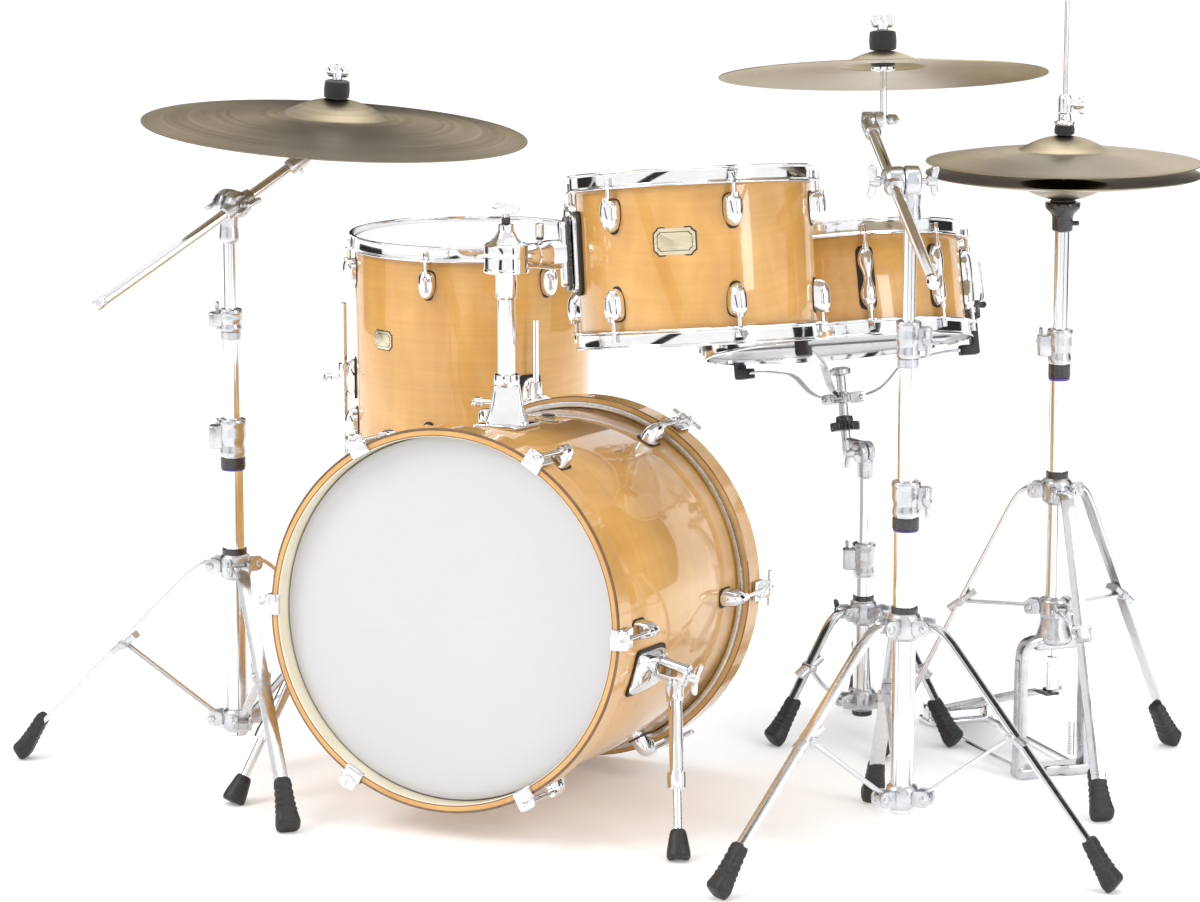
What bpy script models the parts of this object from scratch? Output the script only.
"""Acoustic drum kit: bass drum with spurs and tom holder, hanging tom, floor tom, snare drum on its
stand, hi-hat, and two boom stands with cymbals. Metres, +Z up, bass drum axis along Y, front at -Y.
Every position below is measured from the floor point under the bass drum's front face; SHIFT then
moves the kit so that the origin is the centre of its footprint."""

import math
from collections import namedtuple

import bpy
import bmesh
from mathutils import Matrix, Vector

SHIFT = Vector((-0.0756, -0.5757, 0.0))
GAP = 0.0004
RIM_STEPS = 32
TUBE_STEPS = 12

FRONT = Vector((0.412, -0.911, 0.0)).normalized()
RIGHT = Vector((0.911, 0.412, 0.0)).normalized()
UP = Vector((0, 0, 1))

Drum = namedtuple("Drum", "centre normal shell hoop height lugs first_lug")
Stand = namedtuple("Stand", "foot reach first_foot")
Disc = namedtuple("Disc", "centre normal radius high bell")
Boom = namedtuple("Boom", "low clamp high")

# Bass drum: 18 x 16 in shell, front end raised
BASS_CENTRE = Vector((0, 0, 0.2771))
BASS_TILT = -0.0647
BASS_R = 0.2286
BASS_HOOP_R = 0.2425
BASS_DEPTH = 0.457
BASS_HOOP_W = 0.038
BASS_LUG_ANGLES = (30, 90, 150, 210, 270, 330)
BASS_ROD_R = 0.2500
SPUR_ANGLE = 103
SPUR_DEPTH = 0.140
POST_DEPTH = 0.175
POST_TOP = 0.7350
WALL = 0.006

# Hanging tom 12 x 8 in, snare 14 x 5.5 in, floor tom 14 x 13 in; the centre is that of the top edge
TOM = Drum(
    Vector((0.1771, 0.3727, 0.8101)), Vector((-0.1057, 0.1153, 0.9877)),
    shell=0.1524, hoop=0.1620, height=0.2240, lugs=6, first_lug=17,
)
TOM_MOUNT_ANGLE = -80
TOM_MOUNT_DOWN = 0.100
TOM_MOUNT_R = 0.1574
SNARE = Drum(
    Vector((0.2105, 0.7758, 0.6774)), Vector((-0.1781, 0.1894, 0.9656)),
    shell=0.1778, hoop=0.1880, height=0.158, lugs=10, first_lug=11,
)
FLOOR_TOM = Drum(
    Vector((-0.4798, 1.0690, 0.6106)), Vector((0, 0, 1)),
    shell=0.1778, hoop=0.1880, height=0.345, lugs=6, first_lug=-20,
)
FLOOR_TOM_LEGS = (-90, 30, 150)
FLOOR_TOM_LEG_R = 0.1965
STRAINER_ANGLE = 101
SHELL_EDGE = 0.0093

# Stands: foot of the column, radius of the circle of feet, direction of the first foot in degrees
CRASH_STAND = Stand(Vector((0.5645, 0.1279, 0)), 0.283, -122.3)
RIDE_STAND = Stand(Vector((-0.3862, 0.1626, 0)), 0.314, -168.8)
HAT_STAND = Stand(Vector((0.6042, 0.5965, 0)), 0.243, -55.9)
SNARE_STAND = Stand(Vector((0.2992, 0.6946, 0)), 0.150, -127.0)

CRASH = Disc(Vector((0.4657, 0.2960, 0.9507)), Vector((-0.0879, 0.1655, 0.9823)), 0.2032, 0.030, 0.048)
RIDE = Disc(Vector((-0.2987, 0.2931, 0.8494)), Vector((0.0764, -0.0095, 0.9970)), 0.2540, 0.041, 0.062)
HAT_TOP = Disc(Vector((0.6042, 0.5965, 0.8184)), Vector((0, 0, 1)), 0.1780, 0.034, 0.052)
HAT_BOTTOM = Disc(Vector((0.6042, 0.5965, 0.8020)), Vector((0, 0, -1)), 0.1780, 0.034, 0.052)

# Boom arms: low end, clamp on the column, cymbal end
CRASH_BOOM = Boom(
    Vector((0.7044, -0.1187, 0.7592)), Vector((0.5626, 0.1272, 0.8425)), Vector((0.4705, 0.2869, 0.8967)),
)
RIDE_BOOM = Boom(
    Vector((-0.4788, -0.0276, 0.6475)), Vector((-0.3758, 0.1636, 0.7624)), Vector((-0.3195, 0.2681, 0.8252)),
)

# Heights on each column: low collar, high collar, then the low and high ends of each clamp
CRASH_HEIGHTS = (0.0862, 0.300, 0.4365, 0.4797, 0.6302, 0.6751)
RIDE_HEIGHTS = (0.0737, 0.2819, 0.4297, 0.4791, 0.5958, 0.6248)
HAT_HEIGHTS = (0.228, 0.3854, 0.5556, 0.6005)
SNARE_HEIGHTS = (0.050, 0.1729, 0.2236, 0.2698)

# Snare basket, measured down the drum's axis from its top edge
SNARE_KNEE_Z = 0.3960
BASKET_LOW = 0.292
BASKET_PIVOT_DOWN = 0.225
BASKET_PIVOT_R = 0.0240
BASKET_ARMS = (-18, 102, 222)

PEDAL_BACK = Vector((-0.695, 0.719, 0.0)).normalized()
HEEL_REACH = 0.300
BOOM_OFFSET = 0.0220
CYMBAL_WALL = 0.0016

WOOD = (0.62, 0.36, 0.13)
CHROME = (0.75, 0.75, 0.76)
CAST = (0.45, 0.45, 0.46)
BRONZE = (0.55, 0.42, 0.22)
HEAD = (0.80, 0.80, 0.80)

Looks = namedtuple("Looks", "wood chrome cast bronze film")

kit = None
helpers = None
looks = None


def clear_scene():
    for obj in list(bpy.data.objects):
        bpy.data.objects.remove(obj, do_unlink=True)


def new_collection(name, hidden):
    made = bpy.data.collections.new(name)
    bpy.context.scene.collection.children.link(made)
    made.hide_render = hidden
    return made


def material(name, colour, metal, rough):
    made = bpy.data.materials.new(name)
    made.use_nodes = True
    shader = made.node_tree.nodes["Principled BSDF"]
    shader.inputs["Base Color"].default_value = (*colour, 1)
    shader.inputs["Metallic"].default_value = metal
    shader.inputs["Roughness"].default_value = rough
    return made


def turn_to(axis, side=None):
    """Rotation whose Z is axis and whose X is as near side as it can be."""
    z = Vector(axis).normalized()
    x = Vector(side) if side is not None else (Vector((1, 0, 0)) if abs(z.x) < 0.9 else Vector((0, 1, 0)))
    x = (x - z * x.dot(z)).normalized()
    y = z.cross(x)
    return Matrix((x, y, z)).transposed().to_4x4()


def helper(name, mesh):
    obj = bpy.data.objects.new(name, mesh)
    helpers.objects.link(obj)
    obj.hide_render = True
    obj.display_type = "WIRE"
    return obj


def from_bmesh(name, bm):
    mesh = bpy.data.meshes.new(name)
    bm.to_mesh(mesh)
    bm.free()
    return helper(name, mesh)


def rod(p, q, r, r_end=None, steps=TUBE_STEPS):
    """Straight bar between two points, tapering when r_end is given."""
    p, q = Vector(p), Vector(q)
    bm = bmesh.new()
    place = Matrix.Translation((p + q) / 2) @ turn_to(q - p)
    bmesh.ops.create_cone(
        bm, cap_ends=True, segments=steps, radius1=r, radius2=r if r_end is None else r_end,
        depth=(q - p).length, matrix=place,
    )
    return from_bmesh("rod", bm)


def block(centre, size, turn=None):
    """Box whose sides run along the columns of turn."""
    bm = bmesh.new()
    place = Matrix.Translation(Vector(centre)) @ (turn or Matrix.Identity(4)) @ Matrix.Diagonal((*size, 1))
    bmesh.ops.create_cube(bm, size=1, matrix=place)
    return from_bmesh("block", bm)


def turned(profile, base, axis, steps=TUBE_STEPS, side=None, closed=True):
    """Profile of (radius, height) turned about axis; it runs down the outer side."""
    mesh = bpy.data.meshes.new("turned")
    points = [(r, 0, h) for r, h in profile]
    edges = [(i, i + 1) for i in range(len(points) - 1)]
    if closed:
        edges.append((len(points) - 1, 0))
    mesh.from_pydata(points, edges, [])
    obj = helper("turned", mesh)
    obj.matrix_world = Matrix.Translation(Vector(base)) @ turn_to(axis, side)
    screw = obj.modifiers.new("Turn", "SCREW")
    screw.steps = screw.render_steps = steps
    screw.use_merge_vertices = True
    screw.merge_threshold = 0.00001
    screw.use_smooth_shade = False
    return obj


def strip(path, width, thick, base, outward):
    """Flat bar bent along a path of (distance outward, height), laid in the upright plane of outward."""
    side = outward.cross(UP).normalized()
    points = [Vector(base) + outward * d + UP * h for d, h in path]
    bm = bmesh.new()
    rings = []
    for i, p in enumerate(points):
        before = (points[i] - points[i - 1]).normalized() if i else (points[1] - points[0]).normalized()
        after = (points[i + 1] - points[i]).normalized() if i + 1 < len(points) else before
        along = (before + after).normalized()
        lift = along.cross(side).normalized() * (thick / 2 / max(0.5, along.dot(after)))
        half = side * width / 2
        rings.append([bm.verts.new(p + v) for v in (half + lift, half - lift, -half - lift, -half + lift)])
    for a, b in zip(rings, rings[1:]):
        for k in range(4):
            bm.faces.new((a[k], a[(k + 1) % 4], b[(k + 1) % 4], b[k]))
    bm.faces.new(rings[0][::-1])
    bm.faces.new(rings[-1])
    bmesh.ops.recalc_face_normals(bm, faces=bm.faces)
    return from_bmesh("strip", bm)


def node(name, look, solids, cuts=(), origin=(0, 0, 0)):
    """One named solid: the first shape, joined with the others and cut."""
    base = solids[0]
    graph = bpy.context.evaluated_depsgraph_get()
    mesh = bpy.data.meshes.new_from_object(base.evaluated_get(graph))
    origin = Vector(origin)
    mesh.transform(Matrix.Translation(-origin) @ base.matrix_world)
    bm = bmesh.new()
    bm.from_mesh(mesh)
    bmesh.ops.remove_doubles(bm, verts=bm.verts, dist=0.00001)
    bmesh.ops.recalc_face_normals(bm, faces=bm.faces)
    bm.to_mesh(mesh)
    bm.free()
    obj = bpy.data.objects.new(name, mesh)
    kit.objects.link(obj)
    obj.location = origin + SHIFT
    for mode, others in (("UNION", solids[1:]), ("DIFFERENCE", cuts)):
        if not others:
            continue
        group = bpy.data.collections.new(name + "_" + mode.lower())
        helpers.children.link(group)
        group.hide_render = True
        for other in others:
            helpers.objects.unlink(other)
            group.objects.link(other)
            other.matrix_world = Matrix.Translation(SHIFT) @ other.matrix_world
        joined = obj.modifiers.new(mode.title(), "BOOLEAN")
        joined.operation = mode
        joined.solver = "EXACT"
        joined.operand_type = "COLLECTION"
        joined.collection = group
    bpy.data.objects.remove(base, do_unlink=True)
    obj.data.materials.clear()
    obj.data.materials.append(look)
    return obj


def bass_frame():
    along = Vector((0, math.cos(BASS_TILT), math.sin(BASS_TILT)))
    up = Vector((0, -math.sin(BASS_TILT), math.cos(BASS_TILT)))
    return along, up


def bass_point(r, angle, depth):
    along, up = bass_frame()
    a = math.radians(angle)
    return BASS_CENTRE + r * (math.sin(a) * Vector((1, 0, 0)) + math.cos(a) * up) + depth * along


def bass_turn(angle):
    """Columns: outward, round the drum, along its axis."""
    along, _ = bass_frame()
    out = (bass_point(1, angle, 0) - BASS_CENTRE).normalized()
    return turn_to(along, out)


def bass_depth(d, front):
    """Depth along the axis of a point at distance d in from one end."""
    return d if front else BASS_DEPTH - d


def bass_ring(profile):
    """Ring of (radius, depth), listed down its outer side from the rear."""
    along, up = bass_frame()
    return turned(profile, BASS_CENTRE, along, RIM_STEPS, up)


def bass_shell():
    inner, front, rear = BASS_R - WALL, 0.0255, 0.4315
    solids = [bass_ring([(BASS_R, rear), (BASS_R, front), (inner, front), (inner, rear)])]
    for angle in BASS_LUG_ANGLES:
        for depth in (0.088, BASS_DEPTH - 0.088):
            place = bass_point(0.2420, angle, depth)
            solids.append(block(place, (0.029, 0.020, 0.034), bass_turn(angle)))
    solids.append(block(bass_point(0.2295, 0, 0.30), (0.006, 0.022, 0.022), bass_turn(0)))
    for angle in (SPUR_ANGLE, -SPUR_ANGLE):
        place = bass_point(0.2355, angle, SPUR_DEPTH)
        solids.append(block(place, (0.016, 0.070, 0.044), bass_turn(angle)))
    node("bass_shell", looks.wood, solids)


def bass_head(name, front):
    """Film and flesh hoop in one profile, open at the middle of the disc."""
    along, up = bass_frame()
    outline = [
        (0, 0.0235), (0.2280, 0.0235), (0.2304, 0.0270), (0.2304, 0.0386), (0.2360, 0.0386),
        (0.2360, 0.0480), (0.2290, 0.0480), (0.2290, 0.0251), (0, 0.0251),
    ]
    profile = [(r, bass_depth(d, front)) for r, d in outline]
    node(name, looks.film, [turned(profile, BASS_CENTRE, along, RIM_STEPS, up, closed=False)])


def bass_hoop(name, front):
    """Wooden hoop with a claw and a rod at each lug, and T-handles at the rear."""
    inner = 0.2312
    ring = [(BASS_HOOP_R, BASS_HOOP_W), (BASS_HOOP_R, 0.0), (inner, 0.0), (inner, BASS_HOOP_W)]
    solids = [bass_ring([(r, bass_depth(d, front)) for r, d in ring])]
    for angle in BASS_LUG_ANGLES:
        turn = bass_turn(angle)
        cheek = bass_point(0.2477, angle, bass_depth(0.014, front))
        lip = bass_point(0.2425, angle, bass_depth(-0.0015, front))
        rod_start = bass_point(BASS_ROD_R, angle, bass_depth(-0.020, front))
        rod_end = bass_point(BASS_ROD_R, angle, bass_depth(0.0705, front))
        solids.append(block(cheek, (0.0145, 0.026, 0.036), turn))
        solids.append(block(lip, (0.025, 0.026, 0.005), turn))
        solids.append(rod(rod_start, rod_end, 0.0032, steps=6))
        if not front:
            handle = bass_point(BASS_ROD_R, angle, bass_depth(-0.016, front))
            side = turn.to_3x3() @ Vector((0, 0.024, 0))
            solids.append(rod(handle - side, handle + side, 0.0035, steps=6))
    node(name, looks.wood, solids)


def spur(side):
    """Folding leg: outer tube on the bracket's pivot, and the inner leg that slides out of it."""
    pivot = bass_point(0.2640, SPUR_ANGLE * side, SPUR_DEPTH)
    foot = Vector((0.3150 * side, 0.0170, 0.0))
    along = (foot - pivot).normalized()
    hinge = (bass_point(1, SPUR_ANGLE * side, 0) - BASS_CENTRE).normalized()
    word = "right" if side > 0 else "left"
    length = (foot - pivot).length
    sleeve_end = pivot + along * (length * 0.62)
    eye = rod(pivot - hinge * 0.0195, pivot + hinge * 0.020, 0.014)
    wing = block(pivot + hinge * 0.026 + UP * 0.010, (0.014, 0.010, 0.040))
    tube = rod(pivot, sleeve_end, 0.0090)
    clamp = rod(sleeve_end - along * 0.022, sleeve_end + along * 0.002, 0.0115)
    bore = rod(pivot + along * 0.030, sleeve_end + along * 0.02, 0.0062)
    node("spur_" + word, looks.chrome, [tube, eye, wing, clamp], [bore], origin=pivot)
    leg = rod(pivot + along * 0.060, foot - along * 0.030, 0.0056)
    tip = rod(foot - along * 0.040, foot - along * 0.004 + UP * 0.0045, 0.0095, 0.0115)
    pad = rod(Vector((foot.x, foot.y, 0.0)), Vector((foot.x, foot.y, 0.012)), 0.0115)
    node("spur_leg_" + word, looks.chrome, [leg, tip, pad], origin=foot)


def drum_frame(drum):
    normal = drum.normal.normalized()
    return drum.centre, normal, turn_to(normal, RIGHT)


def drum_point(drum, r, angle, down):
    """Point at an angle right of the front, at a distance down from the top edge."""
    centre, normal, turn = drum_frame(drum)
    a = math.radians(angle)
    return centre - normal * down + turn.to_3x3() @ Vector((math.sin(a) * r, -math.cos(a) * r, 0))


def drum_out(drum, angle):
    return (drum_point(drum, 1, angle, 0) - drum.centre).normalized()


def drum_turn(drum, angle):
    """Columns: outward, round the drum, along its axis."""
    return turn_to(drum.normal, drum_out(drum, angle))


def drum_ring(drum, profile, closed=True):
    """Ring of (radius, distance down from the top edge)."""
    centre, normal, turn = drum_frame(drum)
    side = turn.to_3x3() @ Vector((1, 0, 0))
    return turned([(r, -d) for r, d in profile], centre, normal, RIM_STEPS, side, closed)


def lug_angles(drum):
    return [drum.first_lug + 360 / drum.lugs * k for k in range(drum.lugs)]


def drum_shell(name, drum, lug_downs, lug_long, extra=(), bores=()):
    """Straight wall, with a lug at each angle and at each distance down."""
    r, low = drum.shell, drum.height - SHELL_EDGE
    wall = [(r, SHELL_EDGE), (r, low), (r - WALL, low), (r - WALL, SHELL_EDGE)]
    solids = [drum_ring(drum, wall)]
    for angle in lug_angles(drum):
        for down in lug_downs:
            place = drum_point(drum, r + 0.0080, angle, down)
            solids.append(block(place, (0.018, 0.017, lug_long), drum_turn(drum, angle)))
    node(name, looks.wood, solids + list(extra), bores)


def drum_down(drum, d, top):
    """Distance down from the top edge of a point at distance d in from one edge."""
    return d if top else drum.height - d


def drum_head(name, drum, top):
    r, rim = drum.shell, drum.hoop - 0.0070
    outline = [
        (0, 0.0077), (r - 0.0006, 0.0077), (r + 0.0018, 0.0100), (rim, 0.0150), (rim, 0.0190),
        (r + 0.0005, 0.0190), (r + 0.0005, 0.0089), (0, 0.0089),
    ]
    profile = [(a, drum_down(drum, d, top)) for a, d in outline]
    node(name, looks.film, [drum_ring(drum, profile, closed=False)])


def drum_hoop(name, drum, top, reach):
    """Flanged ring with its rods, which reach that far from the edge."""
    hoop = drum.hoop
    ring = [
        (hoop - 0.0040, 0.0), (hoop - 0.0040, 0.0190), (hoop, 0.0200),
        (hoop, 0.0225), (hoop - 0.0066, 0.0225), (hoop - 0.0066, 0.0),
    ]
    solids = [drum_ring(drum, [(a, drum_down(drum, d, top)) for a, d in ring])]
    rise = -0.004 if top else 0.006
    for angle in lug_angles(drum):
        start = drum_point(drum, hoop - 0.0030, angle, drum_down(drum, rise, top))
        end = drum_point(drum, hoop - 0.0030, angle, drum_down(drum, reach, top))
        solids.append(rod(start, end, 0.0028, steps=6))
    node(name, looks.chrome, solids)


def hanging_tom():
    mount = drum_point(TOM, TOM_MOUNT_R, TOM_MOUNT_ANGLE, TOM_MOUNT_DOWN)
    bracket = [block(mount, (0.014, 0.040, 0.095), drum_turn(TOM, TOM_MOUNT_ANGLE))]
    drum_shell("tom_shell", TOM, (0.056, TOM.height - 0.056), 0.034, bracket)
    drum_head("tom_head_top", TOM, True)
    drum_head("tom_head_bottom", TOM, False)
    drum_hoop("tom_hoop_top", TOM, True, 0.0386)
    drum_hoop("tom_hoop_bottom", TOM, False, 0.0386)


def snare_drum():
    turn = drum_turn(SNARE, STRAINER_ANGLE)
    strainer = block(drum_point(SNARE, 0.1875, STRAINER_ANGLE, 0.080), (0.024, 0.040, 0.080), turn)
    butt_angle = STRAINER_ANGLE + 180
    butt_place = drum_point(SNARE, 0.1845, butt_angle, 0.100)
    butt = block(butt_place, (0.016, 0.050, 0.030), drum_turn(SNARE, butt_angle))
    drum_shell("snare_shell", SNARE, (0.079,), 0.072, [strainer, butt])
    drum_head("snare_head_top", SNARE, True)
    drum_head("snare_head_bottom", SNARE, False)
    drum_hoop("snare_hoop_top", SNARE, True, 0.0426)
    drum_hoop("snare_hoop_bottom", SNARE, False, 0.0426)
    pivot = drum_point(SNARE, 0.2080, STRAINER_ANGLE, 0.110)
    side = turn.to_3x3() @ Vector((0, 1, 0))
    lever = [
        block(pivot + turn.to_3x3() @ Vector((0, 0, 0.028)), (0.008, 0.016, 0.066), turn),
        rod(pivot - side * 0.014, pivot + side * 0.014, 0.0055),
    ]
    node("snare_throw_lever", looks.cast, lever, origin=pivot)


def floor_tom():
    brackets = []
    bores = []
    for angle in FLOOR_TOM_LEGS:
        turn = drum_turn(FLOOR_TOM, angle)
        brackets.append(block(drum_point(FLOOR_TOM, 0.1890, angle, 0.225), (0.026, 0.022, 0.050), turn))
        brackets.append(block(drum_point(FLOOR_TOM, 0.2060, angle, 0.225), (0.020, 0.004, 0.020), turn))
        bore_top = drum_point(FLOOR_TOM, FLOOR_TOM_LEG_R, angle, 0.18)
        bores.append(rod(bore_top, bore_top - UP * 0.09, 0.0052))
    downs = (0.058, FLOOR_TOM.height - 0.058)
    drum_shell("floor_tom_shell", FLOOR_TOM, downs, 0.034, brackets, bores)
    drum_head("floor_tom_head_top", FLOOR_TOM, True)
    drum_head("floor_tom_head_bottom", FLOOR_TOM, False)
    drum_hoop("floor_tom_hoop_top", FLOOR_TOM, True, 0.0406)
    drum_hoop("floor_tom_hoop_bottom", FLOOR_TOM, False, 0.0406)
    for number, angle in enumerate(FLOOR_TOM_LEGS, 1):
        top = drum_point(FLOOR_TOM, FLOOR_TOM_LEG_R, angle, 0.110)
        low = Vector((top.x, top.y, 0.0))
        leg = [rod(low + UP * 0.020, top, 0.0048), rod(low, low + UP * 0.045, 0.0125, 0.0100)]
        node("floor_tom_leg_%d" % number, looks.chrome, leg, origin=top)


def cymbal(name, disc, look):
    """Bell in the middle, shallow bow to the edge, hole for its rod."""
    r, high = disc.radius, disc.high
    bow = high - 0.019 if r < 0.25 else high - 0.022
    shape = [
        (r, 0.0), (r * 0.70, bow * 0.50), (disc.bell + 0.004, bow),
        (disc.bell * 0.6, high - 0.006), (0.0065, high),
    ]
    outer = shape[::-1]
    inner = [(a, h - CYMBAL_WALL) for a, h in shape]
    body = turned(outer + inner, disc.centre, disc.normal, RIM_STEPS, RIGHT)
    node(name, look, [body], origin=disc.centre)


def foot_directions(first):
    turns = [math.radians(first + 120 * k) for k in range(3)]
    return [Vector((math.cos(a), math.sin(a), 0)) for a in turns]


def tripod(stand, low, high, collar_r):
    """Two collars, three bent legs with rubber feet, and a stay from each leg to the lower collar."""
    base = stand.foot
    foot = stand.reach - 0.018
    bend = collar_r + 0.034
    z_bend, z_foot = high - 0.012, 0.030
    stay_along = 0.42
    mid = bend + (foot - bend) * stay_along
    z_mid = z_bend + (z_foot - z_bend) * stay_along
    root = collar_r - 0.006
    leg = [(root, high), (collar_r + 0.016, high - 0.001), (bend, z_bend), (foot, z_foot)]
    stay = [(root, low), (collar_r + 0.010, low + 0.001), (mid, z_mid)]
    shoe = [(foot - 0.024, 0.064), (foot + 0.002, 0.018), (foot + 0.008, 0.0125)]
    solids = []
    for z in (low, high):
        solids.append(rod(base + UP * (z - 0.012), base + UP * (z + 0.012), collar_r))
    for out in foot_directions(stand.first_foot):
        sole = base + out * (foot + 0.006) + UP * 0.006
        solids.append(strip(leg, 0.019, 0.007, base, out))
        solids.append(strip(stay, 0.012, 0.005, base, out))
        solids.append(strip(shoe, 0.026, 0.019, base, out))
        solids.append(block(sole, (0.034, 0.026, 0.012), turn_to(UP, out)))
    return solids


def clamp(base, z_low, z_high, r, wing):
    """Collar round a tube's end with a wing bolt standing out on the side wing points to."""
    mid = base + UP * ((z_low + z_high) / 2)
    turn = turn_to(wing)
    return [
        rod(base + UP * z_low, base + UP * z_high, r),
        rod(mid, mid + wing * (r + 0.016), 0.0042, steps=8),
        block(mid + wing * (r + 0.022), (0.042, 0.008, 0.014), turn),
    ]


def tube_bore(base, z_low, z_high, r):
    return rod(base + UP * z_low, base + UP * z_high, r)


def boom_stand(word, stand, disc, boom, heights):
    """Base with its lower tube, middle tube and top tube, then the arm, the tilter and the cymbal."""
    base = stand.foot
    low, high, c1_low, c1_high, c2_low, c2_high = heights
    arm_line = (boom.high - boom.low).normalized()
    hinge = arm_line.cross(UP).normalized()
    if hinge.dot(FRONT) < 0:
        hinge = -hinge
    wing = RIGHT if word == "crash" else -RIGHT
    solids = [rod(base + UP * (low - 0.018), base + UP * (c1_high - 0.002), 0.0143)]
    solids += tripod(stand, low, high, 0.0200)
    solids += clamp(base, c1_low, c1_high, 0.0190, wing)
    node(word + "_stand_base", looks.chrome, solids, [tube_bore(base, low + 0.02, c1_high + 0.02, 0.0116)])
    middle = [rod(base + UP * (c1_low - 0.110), base + UP * (c2_high - 0.002), 0.0112)]
    middle += clamp(base, c2_low, c2_high, 0.0160, wing)
    bore = tube_bore(base, c1_low - 0.14, c2_high + 0.02, 0.0084)
    node(word + "_stand_middle", looks.chrome, middle, [bore], origin=base + UP * c1_high)
    head = Vector((base.x, base.y, boom.clamp.z))
    nut_turn = turn_to(hinge)
    stem = [
        rod(base + UP * (c2_low - 0.100), head - UP * 0.004, 0.0080),
        rod(head - UP * 0.048, head - UP * 0.0190, 0.0130),
        rod(head - hinge * 0.010, head + hinge * 0.0084, 0.0185),
        rod(head - hinge * 0.009, head - hinge * 0.024, 0.0045, steps=8),
        block(head - hinge * 0.028, (0.036, 0.014, 0.008), nut_turn),
    ]
    node(word + "_stand_top", looks.chrome, stem, origin=base + UP * c2_high)
    centre = head + hinge * BOOM_OFFSET
    low_end = centre - arm_line * (boom.low - boom.clamp).length
    high_end = centre + arm_line * (boom.high - boom.clamp).length
    arm = [
        rod(low_end, high_end - arm_line * 0.008, 0.0068),
        rod(head + hinge * 0.0088, head + hinge * 0.031, 0.0180),
        rod(head + hinge * 0.029, head + hinge * 0.040, 0.0045, steps=8),
        block(head + hinge * 0.043, (0.040, 0.014, 0.008), nut_turn),
        rod(high_end - arm_line * 0.046, high_end - arm_line * 0.014, 0.0105),
        rod(high_end - hinge * 0.0065, high_end + hinge * 0.0065, 0.0100),
    ]
    node(word + "_boom_arm", looks.chrome, arm, origin=head)
    cymbal_tilter(word, disc, high_end - hinge * 0.0134, hinge)
    cymbal(word + "_cymbal", disc, looks.bronze)


def cymbal_tilter(word, disc, pin, hinge):
    """Rod through the cymbal with its two felts and its nut, turning on the pin at the arm's end."""
    normal = disc.normal.normalized()
    at = lambda height: disc.centre + normal * (disc.high + height)
    foot = disc.centre - normal * ((disc.centre - pin).dot(normal) - 0.006)
    tilter = [
        rod(at(0.046), foot - normal * 0.010, 0.0042, steps=12),
        rod(pin - hinge * 0.0056, pin + hinge * 0.0056, 0.0100),
    ]
    if (pin - foot).length > 0.004:
        tilter.append(rod(pin, foot, 0.0055, steps=8))
    tilter += [
        rod(at(-0.018), at(-0.0055), 0.0150),
        rod(at(GAP), at(0.024), 0.0160),
        block(at(0.034), (0.034, 0.009, 0.014), turn_to(normal, RIGHT)),
    ]
    node(word + "_tilter", looks.chrome, tilter, origin=pin)


def hi_hat():
    """Tripod with its pedal frame, upper tube with the lower seat, pull rod, pedal and two cymbals."""
    base = HAT_STAND.foot
    side = Vector((PEDAL_BACK.y, -PEDAL_BACK.x, 0))
    turn = turn_to(UP, side)
    heel = base + PEDAL_BACK * HEEL_REACH
    low, high, c_low, c_high = HAT_HEIGHTS
    solids = [rod(base + UP * 0.168, base + UP * (c_high - 0.002), 0.0128)]
    solids += tripod(HAT_STAND, low, high, 0.0200)
    solids += clamp(base, c_low, c_high, 0.0175, -RIGHT)
    solids += pedal_frame(base, heel, side, turn)
    bore = tube_bore(base, 0.150, c_high + 0.02, 0.0100)
    node("hihat_base", looks.chrome, solids, [bore])
    tube = [
        rod(base + UP * 0.480, base + UP * 0.7480, 0.0095),
        rod(base + UP * 0.729, base + UP * 0.750, 0.0135),
        rod(base + UP * 0.748, base + UP * 0.7660, 0.0150, 0.0230),
    ]
    bore = tube_bore(base, 0.45, 0.80, 0.0042)
    node("hihat_tube", looks.chrome, tube, [bore], origin=base + UP * c_high)
    top = HAT_TOP.centre.z + HAT_TOP.high
    pull = [
        rod(base + UP * 0.128, base + UP * 1.028, 0.0030, steps=12),
        rod(base + UP * 0.150, base + UP * 0.162, 0.0085),
        block(base + UP * 0.1345, (0.016, 0.006, 0.032), turn),
        rod(base + UP * (top + GAP), base + UP * (top + 0.014), 0.0110),
        rod(base + UP * (top + 0.012), base + UP * (top + 0.018), 0.0135),
        rod(base + UP * (top + 0.016), base + UP * 0.905, 0.0080),
        rod(base + UP * (top - 0.012), base + UP * (top - 0.0030), 0.0085),
        block(base + UP * 0.892 + RIGHT * 0.014, (0.014, 0.006, 0.020), turn_to(UP, RIGHT)),
    ]
    node("hihat_rod", looks.chrome, pull, origin=base + UP * 0.162)
    hihat_pedal(base, heel, side)
    cymbal("hihat_cymbal_top", HAT_TOP, looks.bronze)
    cymbal("hihat_cymbal_bottom", HAT_BOTTOM, looks.bronze)


def pedal_frame(base, heel, side, turn):
    """Two columns between a yoke and a foot plate, two rods to the heel, and the heel's hinge posts."""
    solids = [
        rod(base + UP * 0.182, base + UP * 0.222, 0.0240, 0.0180),
        block(base + UP * 0.178, (0.106, 0.027, 0.016), turn),
        block(base + UP * 0.008, (0.106, 0.032, 0.016), turn),
        block(heel + UP * 0.0050, (0.102, 0.050, 0.010), turn),
    ]
    for s in (-1, 1):
        out = side * s
        solids.append(block(base + out * 0.0455 + UP * 0.0925, (0.011, 0.023, 0.173), turn))
        solids.append(rod(base + out * 0.040 + UP * 0.008, heel + out * 0.040 + UP * 0.006, 0.0030, steps=8))
        solids.append(block(heel + out * 0.0445 + UP * 0.016, (0.008, 0.022, 0.024), turn))
    return solids


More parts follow.
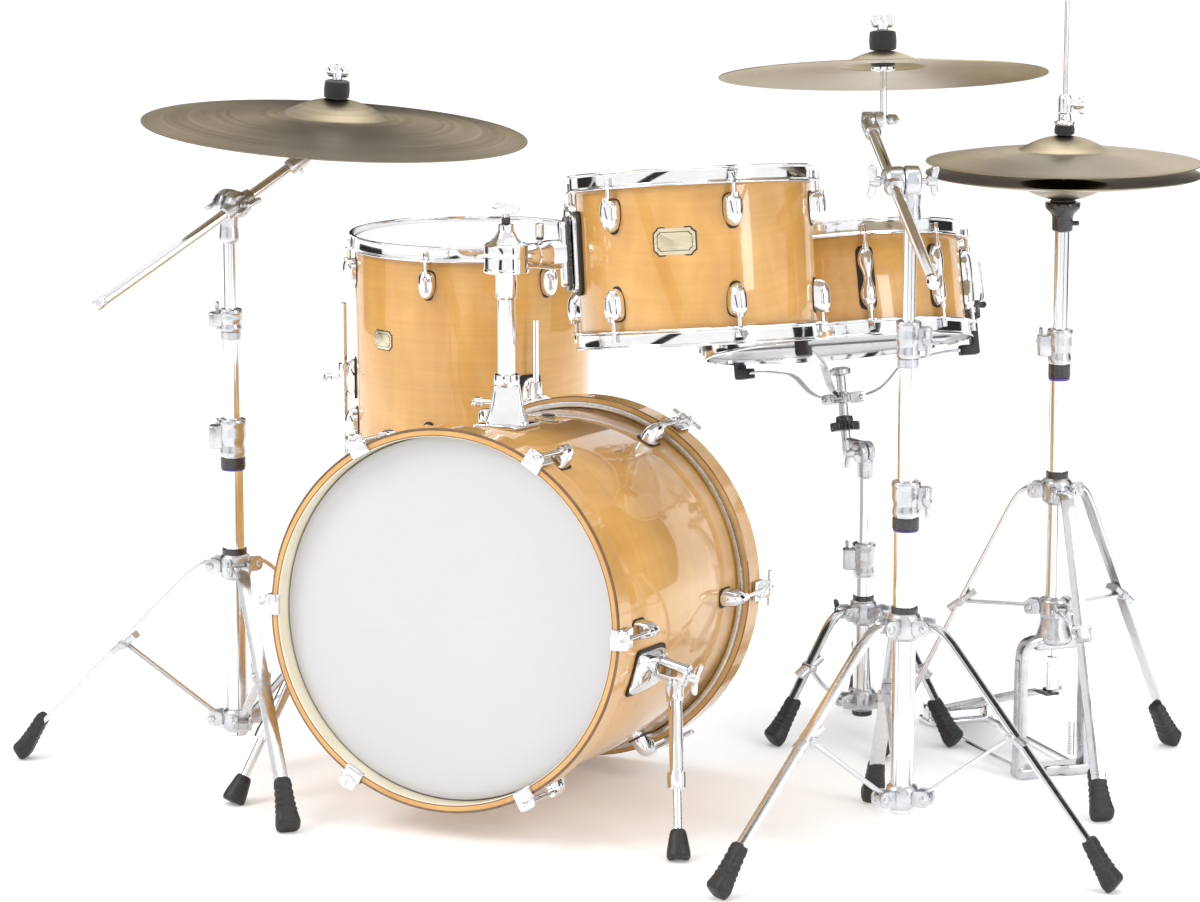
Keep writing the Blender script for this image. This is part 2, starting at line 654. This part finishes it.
def hihat_pedal(base, heel, side):
    """Board on its hinge at the heel, with a link plate at the toe."""
    hinge = heel + UP * 0.020
    toe = base + PEDAL_BACK * 0.034 + UP * 0.108
    link = base + UP * 0.1100
    run = toe - hinge
    board_turn = turn_to(run, side)
    board = [
        block(hinge + run * 0.53, (0.078, 0.006, run.length * 0.94), board_turn),
        rod(hinge - side * 0.0400, hinge + side * 0.0400, 0.0050, steps=12),
        block(hinge + run * 0.05, (0.060, 0.006, run.length * 0.10), board_turn),
        block((toe + link) / 2, (0.020, 0.050, 0.004), turn_to(UP, side)),
    ]
    node("hihat_pedal", looks.chrome, board, origin=hinge)


def snare_stand():
    """Tripod, upper tube with its tilting knuckle, and the basket."""
    base = SNARE_STAND.foot
    low, high, c_low, c_high = SNARE_HEIGHTS
    solids = [rod(base + UP * (low - 0.018), base + UP * (c_high - 0.002), 0.0130)]
    solids += tripod(SNARE_STAND, low, high, 0.0190)
    solids += clamp(base, c_low, c_high, 0.0175, -RIGHT)
    bore = tube_bore(base, low + 0.02, c_high + 0.02, 0.0100)
    node("snare_stand_base", looks.chrome, solids, [bore])
    knee = Vector((base.x, base.y, SNARE_KNEE_Z))
    on_axis = SNARE.centre - SNARE.normal.normalized() * BASKET_LOW
    lean = Vector((on_axis.x - base.x, on_axis.y - base.y, 0)).normalized()
    hinge = lean.cross(UP).normalized()
    tube = [
        rod(base + UP * 0.110, knee - UP * 0.010, 0.0095),
        rod(knee - hinge * 0.0145, knee - hinge * 0.0040, 0.0150),
        rod(knee - UP * 0.030, knee - UP * 0.006, 0.0110),
        rod(knee - hinge * 0.012, knee - hinge * 0.026, 0.0045, steps=8),
        block(knee - hinge * 0.029 - UP * 0.012, (0.010, 0.008, 0.040)),
    ]
    slot = block(knee + hinge * 0.0215, (0.060, 0.060, 0.050), turn_to(hinge))
    node("snare_stand_tube", looks.chrome, tube, [slot], origin=base + UP * c_high)
    basket_hub(knee, hinge, on_axis)
    for number, angle in enumerate(BASKET_ARMS, 1):
        basket_arm("snare_arm_%d" % number, drum_out(SNARE, angle))


def basket_point(out, r, down):
    return SNARE.centre - SNARE.normal.normalized() * down + out * r


def basket_hub(knee, hinge, on_axis):
    """Link from the knuckle, rod on the drum's axis, hand nut, and a forked ear for each arm."""
    normal = SNARE.normal.normalized()
    level = lambda down: SNARE.centre - normal * down
    span = on_axis - knee
    link_size = (span.length + 0.014, 0.022, 0.0108)
    hub = [
        rod(knee - hinge * 0.0032, knee + hinge * 0.0080, 0.0150),
        block((knee + on_axis) / 2 + hinge * 0.0024, link_size, turn_to(hinge, span)),
        rod(on_axis - normal * 0.012, level(0.182), 0.0070),
        rod(level(0.268), level(0.256), 0.0200),
        rod(level(0.232), level(0.218), 0.0140),
        rod(level(0.194), level(0.182), 0.0150),
    ]
    for angle in BASKET_ARMS:
        out = drum_out(SNARE, angle)
        across = normal.cross(out).normalized()
        fork = basket_point(out, BASKET_PIVOT_R - 0.006, BASKET_PIVOT_DOWN)
        for s in (-1, 1):
            hub.append(block(fork + across * (0.0082 * s), (0.026, 0.0045, 0.014), turn_to(normal, out)))
    node("snare_basket_hub", looks.chrome, hub, origin=knee)


def basket_arm(name, out):
    """Bent strip from the fork to a rubber pad that holds the drum's lower edge."""
    normal = SNARE.normal.normalized()
    across = normal.cross(out).normalized()
    stops = [
        (BASKET_PIVOT_R, BASKET_PIVOT_DOWN), (0.0600, 0.214), (0.0900, 0.182),
        (0.1500, 0.1705), (0.1840, 0.1700),
    ]
    path = [basket_point(out, r, down) for r, down in stops]
    arm = []
    for p, q in zip(path, path[1:]):
        span = q - p
        size = (0.0040, 0.0110, span.length + 0.003)
        arm.append(block((p + q) / 2, size, turn_to(span, span.cross(across))))
    pad_turn = turn_to(normal, out)
    arm.append(block(basket_point(out, 0.1870, 0.1695), (0.026, 0.018, 0.016), pad_turn))
    arm.append(block(basket_point(out, 0.1945, 0.1520), (0.0100, 0.018, 0.042), pad_turn))
    node(name, looks.chrome, arm, origin=path[0])


def tom_holder():
    """Base on the bass drum, post, and the arm from the post's socket to the plate on the tom."""
    up = bass_frame()[1]
    foot = bass_point(BASS_R, 0, POST_DEPTH) + up * 0.0007
    lever_root = foot + UP * 0.026
    tower_line = [(0.0, 0.052), (0.0190, 0.052), (0.0290, 0.004), (0.0, 0.004)]
    square = Vector((0.707, 0.707, 0))
    base = [
        block(foot + up * 0.0035, (0.006, 0.060, 0.078), bass_turn(0)),
        turned(tower_line, foot, UP, 4, square, closed=False),
        rod(foot + UP * 0.050, foot + UP * 0.064, 0.0150),
        block(lever_root - RIGHT * 0.036 + FRONT * 0.010, (0.030, 0.010, 0.008), turn_to(UP, RIGHT)),
        rod(lever_root, lever_root - RIGHT * 0.030 + FRONT * 0.008, 0.0045, steps=8),
    ]
    node("tom_post_base", looks.chrome, base, [tube_bore(foot, 0.006, 0.08, 0.0116)], origin=foot)
    top = Vector((foot.x, foot.y, POST_TOP))
    joint = top - UP * 0.0240
    mount = drum_point(TOM, TOM_MOUNT_R, TOM_MOUNT_ANGLE, TOM_MOUNT_DOWN)
    out = drum_out(TOM, TOM_MOUNT_ANGLE)
    socket = mount + out * 0.0073
    elbow = socket + out * 0.0260
    reach = (elbow - joint).normalized()
    post = [
        rod(foot + UP * 0.010, top - UP * 0.012, 0.0112),
        rod(top - UP * 0.0400, top - UP * 0.0080, 0.0295),
        rod(top - UP * 0.010, top + UP * 0.016, 0.0290, 0.0120),
        rod(top + UP * 0.012, top + UP * 0.030, 0.0060),
        block(top + UP * 0.038, (0.036, 0.007, 0.018), turn_to(UP, RIGHT)),
        rod(joint, joint + reach * 0.044, 0.0125),
    ]
    node("tom_post", looks.chrome, post, origin=foot)
    arm_start = joint + reach * 0.0446
    arm = [
        rod(arm_start, elbow, 0.0180),
        rod(socket + out * 0.032, socket + out * GAP, 0.0200),
        block(socket + out * 0.0080, (0.0140, 0.034, 0.082), drum_turn(TOM, TOM_MOUNT_ANGLE)),
    ]
    node("tom_arm", looks.cast, arm, origin=arm_start)


def build():
    global kit, helpers, looks
    clear_scene()
    kit = new_collection("drum_kit", False)
    helpers = new_collection("helpers", True)
    looks = Looks(
        material("lacquered_maple", WOOD, 0.0, 0.2), material("chrome_steel", CHROME, 1.0, 0.1),
        material("cast_alloy", CAST, 1.0, 0.4), material("cymbal_bronze", BRONZE, 1.0, 0.3),
        material("drum_head_film", HEAD, 0.0, 0.5),
    )
    bass_shell()
    bass_head("bass_head_front", True)
    bass_head("bass_head_batter", False)
    bass_hoop("bass_hoop_front", True)
    bass_hoop("bass_hoop_batter", False)
    spur(1)
    spur(-1)
    tom_holder()
    hanging_tom()
    floor_tom()
    snare_drum()
    snare_stand()
    hi_hat()
    boom_stand("crash", CRASH_STAND, CRASH, CRASH_BOOM, CRASH_HEIGHTS)
    boom_stand("ride", RIDE_STAND, RIDE, RIDE_BOOM, RIDE_HEIGHTS)


build()
